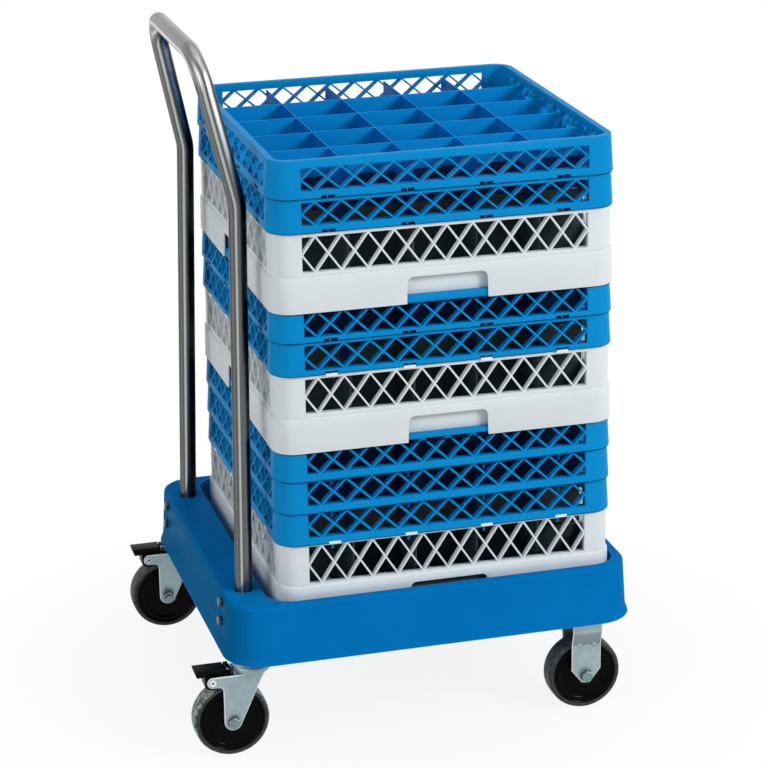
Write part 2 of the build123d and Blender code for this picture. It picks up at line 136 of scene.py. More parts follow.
class Graph:
    """A node tree under construction."""

    def __init__(self, tree):
        self.tree = tree

    def feed(self, socket, value):
        """Link a socket, or set its value."""
        if isinstance(value, Sock):
            self.tree.links.new(value.link, socket)
        else:
            socket.default_value = value

    def node(self, kind, settings=None, inputs=None, output=0):
        """Add a node: settings first, then the values or links of its sockets."""
        made = self.tree.nodes.new(kind)
        for key, value in (settings or {}).items():
            if key == "stops":
                set_stops(made.color_ramp, value)
            else:
                setattr(made, key, value)
        pairs = inputs.items() if isinstance(inputs, dict) else enumerate(inputs or [])
        for key, value in pairs:
            self.feed(made.inputs[key], value)
        return Sock(self, made.outputs[output])

    def direct_rays(self):
        """1 for rays from the camera, off gloss and through glass, and 0 for the rest."""
        seen = self.node("ShaderNodeLightPath", output="Is Camera Ray")
        for ray in ("Is Glossy Ray", "Is Transmission Ray"):
            other = self.node("ShaderNodeLightPath", output=ray)
            seen = self.node("ShaderNodeMath", {"operation": "MAXIMUM"}, [seen, other])
        return seen


class Shader(Graph):
    """One material under construction."""

    def __init__(self, name):
        self.material = bpy.data.materials.new(name)
        self.material.use_nodes = True
        super().__init__(self.material.node_tree)
        self.tree.nodes.clear()
        self.output = self.tree.nodes.new("ShaderNodeOutputMaterial")
        self.principled = self.tree.nodes.new("ShaderNodeBsdfPrincipled")
        self.tree.links.new(self.principled.outputs["BSDF"], self.output.inputs["Surface"])

    def place(self, scale=(1, 1, 1), source="Object"):
        """Object or UV coordinates, stretched."""
        coords = self.node("ShaderNodeTexCoord", output=source)
        return self.node("ShaderNodeMapping", {}, {"Vector": coords, "Scale": scale})

    def along(self, axis):
        """One of the three Object coordinates, in metres."""
        return self.node("ShaderNodeSeparateXYZ", {}, [self.place()], axis)

    def attribute(self, name):
        """A number that the mesh carries."""
        return self.node("ShaderNodeAttribute", {"attribute_name": name}, output="Fac")

    def noise(self, scale, detail=3.0, rough=0.55, at=None):
        """Noise from 0 to 1."""
        inputs = {"Scale": scale, "Detail": detail, "Roughness": rough}
        inputs["Vector"] = self.place() if at is None else at
        return self.node("ShaderNodeTexNoise", {}, inputs)

    def ramp(self, factor, *stops):
        """A ramp through the stops."""
        return self.node("ShaderNodeValToRGB", {"stops": stops}, {"Fac": factor})

    def mix(self, factor, first, second, blend="MIX"):
        """A colour between two colours. The colour sockets of a Mix node are its inputs 6 and 7."""
        settings = {"data_type": "RGBA", "blend_type": blend}
        return self.node("ShaderNodeMix", settings, {0: factor, 6: rgba(first), 7: rgba(second)}, 2)

    def bump(self, height, strength, distance):
        """A surface normal from a height."""
        inputs = {"Height": height, "Strength": strength, "Distance": distance}
        return self.node("ShaderNodeBump", {}, inputs)

    def finish(self, **inputs):
        """Set the shader's own sockets and give the material back."""
        for key, value in inputs.items():
            socket = self.principled.inputs[key.replace("_", " ")]
            self.feed(socket, rgba(value) if key == "Base_Color" else value)
        return self.material


# Materials


def moulded(name, colour, dark, rough, grain=0.25, scuff=0.06, specular=0.03, rear=None):
    """Injection-moulded plastic with drift, grain, flow marks and scuffs, and painted shade on its rear faces
    if a colour for it is named.
    """
    s = Shader(name)
    cloud = s.ramp(s.noise(9.0, 4.0), (0.3, 0.0), (0.75, 1.0))
    fine = s.noise(900.0, 2.0)
    marks = s.noise(60.0, 6.0, 0.7, s.place((1.0, 1.0, 5.0)))
    scratches = s.noise(420.0, 3.0, 0.6, s.place((0.2, 0.2, 2.5)))
    patchy = s.ramp(marks, (0.52, 0.0), (0.72, 1.0))
    tone = s.mix(cloud * 0.5 + patchy * 0.2, colour, dark)
    # Painted shade on faces that turn to the rear, by the share each mesh carries
    if rear:
        tone = s.mix(s.attribute("rearward"), tone, rear)
    chalk = tuple(0.6 * value + 0.4 for value in colour)
    lightened = s.mix(s.ramp(scratches, (0.62, 0.0), (0.8, 1.0)) * scuff, tone, chalk)
    height = fine * grain + scratches * 0.35 + marks * 0.5
    return s.finish(
        Base_Color=lightened,
        Roughness=s.ramp(marks, (0.3, rough - 0.06), (0.8, rough + 0.14)),
        Normal=s.bump(height, 0.16, 0.0006),
        Specular_IOR_Level=specular,
    )


def brushed_tube():
    """Satin stainless tube: streaks along it, and painted reflections: light and dark stripes side by side as
    on polished pipe, painted into its colour.
    """
    s = Shader("satin_stainless")
    streaks = s.noise(1.0, 5.0, 0.65, s.place((260.0, 3.0, 1.0), "UV"))
    broad = s.noise(1.0, 3.0, 0.5, s.place((7.0, 0.9, 1.0), "UV"))
    smudge = s.noise(26.0, 4.0)
    band = s.attribute("band") + (broad - 0.5) * 0.06
    # Painted reflections: these ramps paint light and dark stripes round the tube, one set for each leg, the
    # shoulders and the grip
    left_bands = (
        (0.0, (0.02, 0.022, 0.022)), (0.08, (0.035, 0.038, 0.038)), (0.15, (0.17, 0.175, 0.17)),
        (0.26, (0.135, 0.14, 0.135)), (0.33, (0.085, 0.09, 0.085)), (0.39, (0.4, 0.43, 0.42)),
        (0.46, (0.52, 0.55, 0.54)),
    )
    dark_leg = s.ramp(
        band,
        *left_bands,
        (0.51, (0.15, 0.16, 0.155)), (0.66, (0.09, 0.1, 0.1)), (0.73, (0.012, 0.02, 0.022)),
        (0.9, (0.008, 0.014, 0.017)), (1.0, (0.03, 0.035, 0.035)),
    )
    grey_leg = s.ramp(
        band,
        *left_bands,
        (0.51, (0.14, 0.15, 0.15)), (0.62, (0.12, 0.13, 0.13)), (0.79, (0.17, 0.18, 0.18)),
        (0.87, (0.05, 0.055, 0.055)), (0.93, (0.01, 0.015, 0.017)),
    )
    shoulder = s.ramp(
        band,
        (0.0, (0.015, 0.016, 0.016)), (0.08, (0.04, 0.042, 0.042)), (0.16, (0.22, 0.23, 0.225)),
        (0.27, (0.18, 0.19, 0.185)), (0.33, (0.1, 0.105, 0.1)), (0.4, (0.5, 0.53, 0.52)),
        (0.5, (0.5, 0.52, 0.52)), (0.57, (0.06, 0.065, 0.065)), (0.63, (0.13, 0.135, 0.14)),
        (0.7, (0.75, 0.78, 0.78)), (0.8, (0.85, 0.87, 0.87)), (0.87, 0.2),
        (0.94, (0.03, 0.035, 0.035)),
    )
    grip = s.ramp(
        band,
        (0.0, 0.02), (0.05, 0.3), (0.1, 0.88),
        (0.15, 0.6), (0.22, (0.19, 0.19, 0.195)), (0.3, (0.23, 0.235, 0.24)),
        (0.7, (0.195, 0.205, 0.21)), (0.88, (0.27, 0.28, 0.285)), (1.0, (0.36, 0.37, 0.37)),
    )
    height = s.along(2)
    # Which leg takes which painted reflection, by side and height
    near_side = s.ramp(s.along(1) + 0.5, (0.45, 1.0), (0.55, 0.0))
    lower_half = s.ramp(height, (0.5, 1.0), (0.62, 0.0))
    leg = s.mix(near_side * lower_half, dark_leg, grey_leg)
    tone = s.mix(s.ramp(height, (0.8, 0.0), (0.93, 1.0)), leg, shoulder)
    tone = s.mix(s.attribute("bar"), tone, grip)
    tone = s.mix(0.7, tone, s.ramp(streaks, (0.3, 0.68), (0.65, 1.0)), "MULTIPLY")
    return s.finish(
        Base_Color=tone,
        Metallic=1.0,
        Roughness=s.ramp(streaks, (0.3, 0.22), (0.7, 0.32)) + s.ramp(smudge, (0.5, 0.0), (0.8, 0.08)),
        Normal=s.bump(streaks, 0.12, 0.0002),
    )


def zinc(name, colour, dark, rough=0.42, bend=None, metallic=0.6):
    """Bright zinc plate with its faint spangle and water marks, and a strip of painted shade above a bend if
    one is given.
    """
    s = Shader(name)
    pattern = {"Vector": s.place(), "Scale": 260.0, "Randomness": 1.0}
    spangle = s.node("ShaderNodeTexVoronoi", {}, pattern, "Color")
    cell = s.node("ShaderNodeSeparateColor", {}, {"Color": spangle})
    stain = s.noise(35.0, 5.0, 0.6)
    fine = s.noise(700.0, 3.0)
    tone = s.mix(s.ramp(stain, (0.35, 0.0), (0.75, 1.0)), colour, dark)
    tone = s.mix(cell * 0.15, tone, (0.6, 0.66, 0.67))
    if bend:
        # Painted shade on the outward slope just above the bend
        stretch = 4.0
        stops = ((bend - 0.0015, 1.0), (bend, 0.55), (bend + 0.018, 0.62), (bend + 0.022, 1.0))
        painted_shade_strip = s.ramp(s.along(2) * stretch, *[(at * stretch, grey) for at, grey in stops])
        tone = s.mix(0.95, tone, painted_shade_strip, "MULTIPLY")
    return s.finish(
        Base_Color=tone,
        Metallic=metallic,
        Roughness=s.ramp(stain, (0.3, rough - 0.06), (0.75, rough + 0.12)),
        Normal=s.bump(fine * 0.5 + cell * 0.5, 0.08, 0.0003),
        Specular_IOR_Level=0.3,
    )


def rubber(name, lightened):
    """Dark grey rubber with a pale, mottled tread of dust and painted sheen."""
    s = Shader(name)
    dust = s.noise(130.0, 6.0, 0.7)
    fine = s.noise(600.0, 3.0)
    mottle = s.ramp(dust, (0.42, 0.0), (0.58, 1.0))
    side = s.mix(mottle, (0.022, 0.028, 0.028), (0.045, 0.054, 0.052))
    patchy = s.mix(mottle, (0.03, 0.042, 0.042), (0.45, 0.52, 0.52))
    return s.finish(
        # The pale tread colour is dust and a painted reflection, by the share given
        Base_Color=s.mix(s.attribute("tread") * lightened, side, patchy),
        Roughness=s.ramp(dust, (0.3, 0.42), (0.75, 0.7)),
        Normal=s.bump(fine * 0.6 + dust * 0.6, 0.3, 0.0005),
        Specular_IOR_Level=0.2,
    )


def gloss_black(name, rough, specular):
    """Glossy black plastic or paint with faint dust."""
    s = Shader(name)
    dust = s.noise(120.0, 5.0, 0.7)
    wave = s.noise(18.0, 2.0)
    patches = s.ramp(dust, (0.55, 0.0), (0.85, 0.5))
    return s.finish(
        Base_Color=s.mix(patches, (0.0006, 0.0009, 0.001), (0.004, 0.0045, 0.005)),
        Roughness=s.ramp(dust, (0.4, rough), (0.8, rough + 0.15)),
        Normal=s.bump(wave * 0.7 + dust * 0.3, 0.06, 0.0005),
        Specular_IOR_Level=specular,
    )


RACK_BLUE = moulded("rack_blue_plastic", (0.003, 0.275, 0.635), (0.002, 0.225, 0.56), 0.38)
# Lighter copies of the rack plastics: painted highlights on rib fronts, clips and tabs
RIB_HIGHLIGHT_BLUE = moulded("rib_edge_blue_plastic", (0.012, 0.42, 0.79), (0.008, 0.34, 0.7), 0.34)
RACK_PALE = moulded("rack_pale_plastic", (0.76, 0.81, 0.825), (0.66, 0.725, 0.745), 0.38, scuff=0.04,
                    specular=0.08)
RIB_HIGHLIGHT_PALE = moulded("rib_edge_pale_plastic", (0.88, 0.91, 0.91), (0.8, 0.84, 0.85), 0.36, scuff=0.03,
                   specular=0.08)
# The deck's rear colour is painted shade for its faces that turn to -X
DECK_BLUE = moulded("deck_blue_plastic", (0.001, 0.18, 0.505), (0.001, 0.146, 0.435), 0.45, 0.5, 0.03, 0.004,
                    rear=(0.0008, 0.128, 0.315))
# Painted highlight: a lighter copy of the deck's blue for its rounded edges
DECK_HIGHLIGHT = moulded("deck_edge_plastic", (0.004, 0.26, 0.6), (0.003, 0.2, 0.52), 0.35, 0.3, 0.03, 0.06)
SHEET_BLUE = moulded("divider_blue_plastic", (0.003, 0.29, 0.75), (0.003, 0.235, 0.65), 0.42)
# Copies of the dividers' plastic that paint shade: deeper blue on faces along X, and deep blue and near-black
# inside the lower racks
SHEET_SHADE = moulded("divider_mid_blue_plastic", (0.004, 0.17, 0.56), (0.004, 0.13, 0.46), 0.42)
DEEP_SHADE_SHEET = moulded("divider_deep_blue_plastic", (0.012, 0.05, 0.15), (0.01, 0.022, 0.07), 0.42)
DARK_SHADE_SHEET = moulded("divider_dark_plastic", (0.085, 0.12, 0.12), (0.01, 0.017, 0.017), 0.3, scuff=0.03,
                     specular=0.1)
# Painted shade: near-black for the shadow lines under the skirts and in their notches
SEAM_SHADE = moulded("seam_dark_plastic", (0.001, 0.012, 0.035), (0.001, 0.006, 0.02), 0.6, scuff=0.0)
STEEL_TUBE = brushed_tube()
ZINC = zinc("zinc_plate", (0.33, 0.445, 0.47), (0.25, 0.35, 0.375))
ZINC_BENT = zinc("zinc_plate_bent", (0.36, 0.475, 0.5), (0.28, 0.38, 0.4), bend=FORK_BEND * MM)
# Painted highlight: near-white and not metallic, for the forks' rounded edges, the glints on the axle hexes
# and the pivot rivets
ZINC_HIGHLIGHT = zinc("zinc_edge", (0.97, 0.98, 0.98), (0.88, 0.92, 0.92), 0.3, metallic=0.0)
BOLT_STEEL = zinc("bolt_plate", (0.22, 0.33, 0.35), (0.1, 0.16, 0.17), 0.3)
# Painted shade: a dark copy of the bolt zinc for hex flats and heads that turn away
BOLT_SHADE = zinc("bolt_flats", (0.05, 0.075, 0.08), (0.02, 0.03, 0.03), 0.3)
TYRE_DUST_AND_SHEEN = rubber("tyre_dusty_rubber", 0.85)
TYRE_FAINT_DUST_AND_SHEEN = rubber("tyre_clean_rubber", 0.12)
HUB_BLACK = gloss_black("hub_gloss_black", 0.12, 0.05)
PEDAL_BLACK = gloss_black("pedal_black_paint", 0.35, 0.08)


# Mesh helpers


def new_object(name, data):
    """An object in the scene for a mesh, a lamp or a camera."""
    obj = bpy.data.objects.new(name, data)
    bpy.context.scene.collection.objects.link(obj)
    return obj


def as_object(name, bm, material=None):
    """Put a finished bmesh into the scene as an object."""
    mesh = bpy.data.meshes.new(name)
    bm.to_mesh(mesh)
    bm.free()
    if material:
        mesh.materials.append(material)
    return new_object(name, mesh)


def shade(obj, sharp):
    """Smooth a mesh, with its edges sharp above an angle in degrees."""
    obj.data.shade_smooth()
    obj.data.set_sharp_from_angle(angle=math.radians(sharp))
    return obj


def bake(obj):
    """Apply an object's modifiers to its mesh."""
    graph = bpy.context.evaluated_depsgraph_get()
    made = bpy.data.meshes.new_from_object(obj.evaluated_get(graph))
    old = obj.data
    obj.modifiers.clear()
    obj.data = made
    made.name = obj.name
    bpy.data.meshes.remove(old)
    return obj


def bevel(obj, width, segments=2, angle=30.0, slot=-1, clamp=True):
    """Round the edges of a finished piece, the rounding in a material slot of its own if one is named."""
    edge = obj.modifiers.new("round", "BEVEL")
    edge.material = slot
    edge.use_clamp_overlap = clamp
    edge.width = width * MM
    edge.segments = segments
    edge.limit_method = "ANGLE"
    edge.angle_limit = math.radians(angle)
    return shade(bake(obj), 28.0)


def modelled(name, material, make, *sizes, sharp=35.0, rounded=None):
    """An object in metres, normals outward, from a function that fills a bmesh in millimetres."""
    bm = bmesh.new()
    make(bm, *sizes)
    bmesh.ops.remove_doubles(bm, verts=bm.verts, dist=0.002)
    bmesh.ops.recalc_face_normals(bm, faces=bm.faces)
    bmesh.ops.scale(bm, vec=(MM, MM, MM), verts=bm.verts)
    obj = shade(as_object(name, bm, material), sharp)
    return bevel(obj, rounded) if rounded else obj


def join(name, parts):
    """Join pieces into one mesh, keeping their materials."""
    bm = bmesh.new()
    slots = []
    for part in parts:
        for material in part.data.materials:
            if material not in slots:
                slots.append(material)
        start = len(bm.faces)
        bm.from_mesh(part.data)
        bm.faces.ensure_lookup_table()
        order = [slots.index(material) for material in part.data.materials]
        for face in bm.faces[start:]:
            face.material_index = order[face.material_index]
    obj = as_object(name, bm)
    for material in slots:
        obj.data.materials.append(material)
    for part in parts:
        bpy.data.objects.remove(part)
    return obj


def settle(obj, body, node):
    """Hand a finished piece to its body and the CAD node that it stands for."""
    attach(obj, body)
    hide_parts(node)


def cad_copy(name, node, material, width, segments=2, rim=None):
    """A CAD node's shape as a merged mesh with rounded edges, which may have a material of their own, a
    lighter copy that paints a highlight on them.
    """
    bm = bmesh.new()
    bm.from_mesh(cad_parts[node].data)
    bmesh.ops.remove_doubles(bm, verts=bm.verts, dist=2e-6)
    bmesh.ops.dissolve_limit(bm, angle_limit=math.radians(0.4), verts=bm.verts, edges=bm.edges)
    obj = as_object(name, bm, material)
    if rim:
        obj.data.materials.append(rim)
    return bevel(obj, width, segments, slot=1 if rim else -1, clamp=False)


def bolt_copy(name, node, width, axis, face, glint):
    """A copy of hex heads along an axis, with painted shade on the flats and a painted glint on the rounding
    that the key lights.
    """
    obj = cad_copy(name, node, face, width)
    for material in (BOLT_SHADE, glint):
        obj.data.materials.append(material)
    for polygon in obj.data.polygons:
        normal = polygon.normal
        along = abs(normal[axis])
        lit = normal.z > 0.15 and (normal.x if axis == 1 else -normal.y) > 0.1
        # Painted shade on the flats, a painted highlight where the rounding faces the key, the face colour
        # elsewhere
        polygon.material_index = 1 if along < 0.5 else 2 if along < 0.97 and lit else 0
    return obj


def skin(bm, rings, closed=False):
    """Quads between rings of vertices, back to the first ring if closed, and with caps at the ends if not."""
    faces = []
    count = len(rings[0])
    after = rings[1:] + rings[:1] if closed else rings[1:]
    for a, b in zip(rings, after):
        for k in range(count):
            m = (k + 1) % count
            faces.append(bm.faces.new((a[k], a[m], b[m], b[k])))
    if not closed:
        bm.faces.new(list(reversed(rings[0])))
        bm.faces.new(rings[-1])
    return faces


def prism(bm, outline, start, end, place):
    """A straight solid from a flat outline, placed by a function of outline point and depth."""
    skin(bm, [[bm.verts.new(place(u, v, depth)) for u, v in outline] for depth in (start, end)])


def rectangle(left, bottom, right, top):
    """The outline of a rectangle."""
    return [(left, bottom), (right, bottom), (right, top), (left, top)]


def block(bm, low, high):
    """A box between two corners."""
    outline = rectangle(low[0], low[1], high[0], high[1])
    prism(bm, outline, low[2], high[2], lambda u, v, depth: (u, v, depth))


def both_faces(half):
    """A closed profile from the half of it on one side of a wheel or a pin."""
    return half + [(-along, radius) for along, radius in reversed(half)]


def lathe(bm, profile, centre, steps):
    """Turn a closed profile of (along Y, radius) points about an axle along Y."""
    rings = []
    for i in range(steps):
        angle = 2 * math.pi * i / steps
        ring_points = []
        for along, radius in profile:
            offset = Vector((radius * math.cos(angle), along, radius * math.sin(angle)))
            ring_points.append(bm.verts.new(centre + offset))
        rings.append(ring_points)
    skin(bm, rings, closed=True)


# Rack walls


class Column:
    """One upright line of a rack wall: on a flat, at a distance along it, or on a corner arc."""

    def __init__(self, side, along=None, turn=None, lean=0.0):
        self.side = side
        self.along = along
        self.turn = turn
        self.lean = lean

    def at(self, half, z, base_z):
        """The point at this column for a wall whose flats stand this far from the centre."""
        if self.along is not None:
            point = Vector((self.along + self.lean * z, -half))
        else:
            swing, arm = math.pi / 2 * self.turn, half - CORNER_CENTRE
            point = Vector((CORNER_CENTRE + arm * math.sin(swing), -CORNER_CENTRE - arm * math.cos(swing)))
        point = Matrix.Rotation(math.pi / 2 * self.side, 2) @ point
        return (STACK_X + point.x, point.y, z + base_z)


def wall_columns(stops):
    """Columns all round a rack, with stops as (distance, lean) along each flat."""
    columns = []
    for side in range(4):
        columns += [Column(side, along=along, lean=lean) for along, lean in stops]
        columns += [Column(side, turn=step / CORNER_STEPS) for step in range(CORNER_STEPS + 1)]
    return columns


def grid_wall(bm, columns, levels, open_cell, base_z):
    """A wall with real openings, closed round their edges. levels are (z, outer half, inner half)."""
    outer = [[bm.verts.new(c.at(h, z, base_z)) for z, h, _ in levels] for c in columns]
    inner = [[bm.verts.new(c.at(h, z, base_z)) for z, _, h in levels] for c in columns]
    count = len(columns)
    rows = len(levels) - 1

    def present(i, j):
        return 0 <= j < rows and not open_cell(columns[i % count], columns[(i + 1) % count], j)

    for i in range(count):
        n = (i + 1) % count
        for j in range(rows):
            if not present(i, j):
                continue
            a, b, c, d = outer[i][j], outer[n][j], outer[n][j + 1], outer[i][j + 1]
            p, q, r, s = inner[i][j], inner[n][j], inner[n][j + 1], inner[i][j + 1]
            bm.faces.new((a, b, c, d))
            bm.faces.new((q, p, s, r))
            rims = ((i, j + 1, d, c, r, s), (i, j - 1, b, a, p, q), (i - 1, j, a, d, s, p),
                    (i + 1, j, c, b, q, r))
            for column, row, *face in rims:
                if not present(column, row):
                    bm.faces.new(face)


def ring(bm, columns, profile, base_z):
    """Sweep a closed profile of (half, z) points round a rack."""
    skin(bm, [[bm.verts.new(c.at(half, z, base_z)) for half, z in profile] for c in columns], closed=True)


def on_walls(bm, centres, outline, base_z, inside, outside, sides=range(4)):
    """Prisms along the walls, from (along, height) points, between two distances from the rack's centre."""
    for side in sides:
        for centre in centres:

            def place(u, v, depth, side=side, centre=centre):
                return Column(side, along=centre + u).at(depth, v, base_z)

            prism(bm, outline, inside, outside, place)


# Lattice and dividers, grown by Geometry Nodes


class Geometry(Graph):
    """A Geometry Nodes tree under construction, with named inputs: counts, lengths and a material."""

    def __init__(self, name, **inputs):
        super().__init__(bpy.data.node_groups.new(name, "GeometryNodeTree"))
        for label, value in inputs.items():
            kind = {int: "NodeSocketInt", float: "NodeSocketFloat"}.get(type(value), "NodeSocketMaterial")
            socket = self.tree.interface.new_socket(label, in_out="INPUT", socket_type=kind)
            if value is not None:
                socket.default_value = value
        self.tree.interface.new_socket("Geometry", in_out="OUTPUT", socket_type="NodeSocketGeometry")
        source = self.tree.nodes.new("NodeGroupInput")
        self.given = {label: Sock(self, source.outputs[label]) for label in inputs}
        self.result = self.tree.nodes.new("NodeGroupOutput")

    def vector(self, x=0.0, y=0.0, z=0.0):
        """A vector from three numbers."""
        return self.node("ShaderNodeCombineXYZ", {}, [x, y, z])

    def sheared_block(self, size, slope):
        """A block that leans along X by a slope."""
        cube = self.node("GeometryNodeMeshCube", {}, {"Size": size})
        where = self.node("GeometryNodeInputPosition")
        height = self.node("ShaderNodeSeparateXYZ", {}, [where], 2)
        inputs = {"Geometry": cube, "Offset": self.vector(height * slope)}
        return self.node("GeometryNodeSetPosition", {}, inputs)

    def row(self, shape, count, start, step):
        """Copies of a shape in a straight row."""
        places = {"Count": count, "Start Location": start, "Offset": step}
        line = self.node("GeometryNodeMeshLine", {}, places)
        return self.node("GeometryNodeInstanceOnPoints", {}, {"Points": line, "Instance": shape})

    def turned(self, shape, turn):
        """A shape turned about Z."""
        return self.node("GeometryNodeTransform", {}, {"Geometry": shape, "Rotation": (0, 0, turn)})

    def join(self, *shapes):
        """Join shapes."""
        made = self.tree.nodes.new("GeometryNodeJoinGeometry")
        for shape in shapes:
            self.feed(made.inputs[0], shape)
        return Sock(self, made.outputs[0])

    def end(self, shape):
        """Realize, set the material and close the tree."""
        real = self.node("GeometryNodeRealizeInstances", {}, {"Geometry": shape})
        inputs = {"Geometry": real, "Material": self.given["Material"]}
        self.feed(self.result.inputs[0], self.node("GeometryNodeSetMaterial", {}, inputs))
        return self.tree


def grown(name, tree, values):
    """Run a tree once and give its mesh as an object in the row frame."""
    host = new_object(name, bpy.data.meshes.new(name))
    modifier = host.modifiers.new("grow", "NODES")
    modifier.node_group = tree
    for item in tree.interface.items_tree:
        if item.in_out == "INPUT" and item.name in values:
            modifier[item.identifier] = values[item.name]
    return bake(host)


def lattice_tree():
    """Crossed ribs that fill the window of each of the four walls of a rack."""
    g = Geometry("crossed_ribs", Diamonds=DIAMONDS, Pitch=PITCH * MM, Height=0.0, Rib=0.0, Depth=0.0,
                 Wall=0.0, Low=0.0, Material=None)
    count, pitch, height = g.given["Diamonds"], g.given["Pitch"], g.given["Height"]
    half_span = (count - 1.0) * 0.5
    shapes = []
    for sign in (1, -1):
        # Each rib is a block sheared along the wall, so that its ends lie flat on the rails
        slope = pitch * float(sign) / height
        depth = g.given["Depth"] * (1.0 if sign > 0 else 0.97)
        for part, share in (("full", 1.0), ("start", 0.5), ("end", 0.5)):
            rib = g.sheared_block(g.vector(g.given["Rib"], depth, height * share), slope)
            if part == "full":
                number, first, middle = count - 1.0, (half_span - 0.5) * (pitch * -1.0), height * 0.5
            else:
                number = 1
                first = (half_span + 0.25) * (pitch * (1.0 if part == "end" else -1.0))
                upper = (sign > 0) == (part == "start")
                middle = height * (0.75 if upper else 0.25)
            shapes.append(g.row(rib, number, g.vector(first, 0.0, middle), g.vector(pitch)))
    place = g.vector(0.0, g.given["Wall"] * -1.0, g.given["Low"])
    panel = g.node("GeometryNodeTransform", {}, {"Geometry": g.join(*shapes), "Translation": place})
    return g.end(g.join(*[g.turned(panel, math.pi / 2 * side) for side in range(4)]))


def divider_tree():
    """Crossed upright sheets that make the compartments of a rack."""
    g = Geometry("crossed_sheets", Sheets=4, Pitch=SHEET_PITCH * MM, Length=0.0, Height=0.0,
                 Sheet=SHEET_THICK * MM, Low=0.0, Material=None)
    count, pitch, height = g.given["Sheets"], g.given["Pitch"], g.given["Height"]
    first = (count - 1.0) * -0.5 * pitch
    middle = g.given["Low"] + height * 0.5
    shapes = []
    for turn, share in ((0.0, 1.0), (math.pi / 2, 0.985)):
        size = g.vector(g.given["Length"], g.given["Sheet"], height * share)
        sheet = g.node("GeometryNodeMeshCube", {}, {"Size": size})
        rows = g.row(sheet, count, g.vector(0.0, first, middle), g.vector(0.0, pitch))
        shapes.append(g.turned(rows, turn))
    return g.end(g.join(*shapes))


LATTICE = lattice_tree()
DIVIDERS = divider_tree()


# Racks


def extender_half(z):
    """How far an extender's tapered wall stands from the centre at a height."""
    return RACK_HALF - RACK_DRAFT * z / EXTENDER_HEIGHT


def raised(obj, base_z):
    """A copy of a piece, raised in its mesh to a height in millimetres."""
    mesh = obj.data.copy()
    mesh.transform(Matrix.Translation((0, 0, base_z * MM)))
    return new_object("raised", mesh)


def facing(point):
    """The axis, 0 or 1, that a point of a wall lies out along."""
    return 0 if abs(point.x) > abs(point.y) else 1


def lattice(window, wall_half, material, highlight_material):
    """The four lattice panels of one kind of rack, their front edges as far out as wall_half gives and
    painted with a highlight.
    """
    height = window[1] - window[0]
    overlap = 0.3
    panels = grown("lattice", LATTICE, {
        "Height": (height + 2 * overlap) * MM,
        "Rib": 2.6 / math.sin(math.atan2(height, PITCH)) * MM,
        "Depth": (LATTICE_WALL - 0.4) * MM,
        "Wall": (RIM_HALF + LINER_HALF) / 2 * MM,
        "Low": (window[0] - overlap) * MM,
        "Material": material,
    })
    for vertex in panels.data.vertices:
        axis = facing(vertex.co)
        reach = abs(vertex.co[axis]) / MM
        share = (reach - LINER_HALF) / LATTICE_WALL
        target = LINER_HALF + share * (wall_half(vertex.co.z / MM) - LINER_HALF)
        vertex.co[axis] = math.copysign(target * MM, vertex.co[axis])
    bevel(panels, 0.3, 1, 60)
    # Painted highlight: the ribs' outward faces take the lighter copy of the plastic
    panels.data.materials.append(highlight_material)
    for face in panels.data.polygons:
        axis = facing(face.center)
        if face.normal[axis] * face.center[axis] > 0 and abs(face.normal[axis]) > 0.9:
            face.material_index = 1
    panels.data.transform(Matrix.Translation((STACK_X * MM, 0, 0)))
    return panels


FLAT_STOPS = [(-WINDOW_HALF, 0.0), (WINDOW_HALF, 0.0)]


def notched_columns():
    """Columns at the ends of the windows, of the drain notches and of the notches' pins."""
    stops = [centre + edge for centre in NOTCH_CENTRES for edge in (-NOTCH_HALF, *NOTCH_PIN, NOTCH_HALF)]
    return wall_columns([(stop, 0.0) for stop in sorted([-WINDOW_HALF, WINDOW_HALF] + stops)])


def on_flat(a, b, reach=WINDOW_HALF):
    """True where both columns are on one flat, within a distance of its middle."""
    return a.side == b.side and None not in (a.along, b.along) and max(abs(a.along), abs(b.along)) <= reach


def in_notch(a, b):
    """True where a cell of the wall lies in one of the notches, clear of its pin."""
    places = [(a.along + b.along) / 2 - centre for centre in NOTCH_CENTRES] if on_flat(a, b) else []
    return any(-NOTCH_HALF < p < NOTCH_PIN[0] or NOTCH_PIN[1] < p < NOTCH_HALF for p in places)


def open_rows(window_row, notch_rows):
    """A test for the open cells of a wall: the windows in one row, and the notches in others."""

    def open_cell(a, b, row):
        return on_flat(a, b) if row == window_row else row in notch_rows and in_notch(a, b)

    return open_cell


def seam_shade(bm, base_z, notched):
    """Painted shade: a dark ring where a skirt ends over the rack below, for the shadow under its edge, with
    a dark strip behind the skirt's notches that paints the shade in them.
    """
    outside = RACK_HALF - 0.5
    if notched:
        inside = extender_half(EXTENDER_HEIGHT - SKIRT_LAP) + 0.06
        behind, band = SKIRT_INSIDE - 0.06, NOTCH_HEIGHT + 0.3
        top = [(outside, 0.1), (behind, 0.1), (behind, band), (inside, band)]
    else:
        inside = outside - 1.6
        top = [(outside, 0.1), (inside, 0.1)]
    ring(bm, wall_columns(FLAT_STOPS), [(inside, -1.1), (outside, -0.9)] + top, base_z)


def hooks(bm, base_z):
    """Small hooks that hang from a bar behind the rim of the rack below."""
    bar_half, bar_top, bar_bottom, stem_bottom = 7.5, -1.2, -3.8, -14.5
    outline = [(-bar_half, bar_top), (-bar_half, bar_bottom), (-2.2, bar_bottom), (-2.2, stem_bottom),
               (1.8, stem_bottom), (1.8, bar_bottom), (bar_half, bar_bottom), (bar_half, bar_top)]
    on_walls(bm, NOTCH_CENTRES, outline, base_z, LINER_HALF - 2.4, LINER_HALF - 0.2)


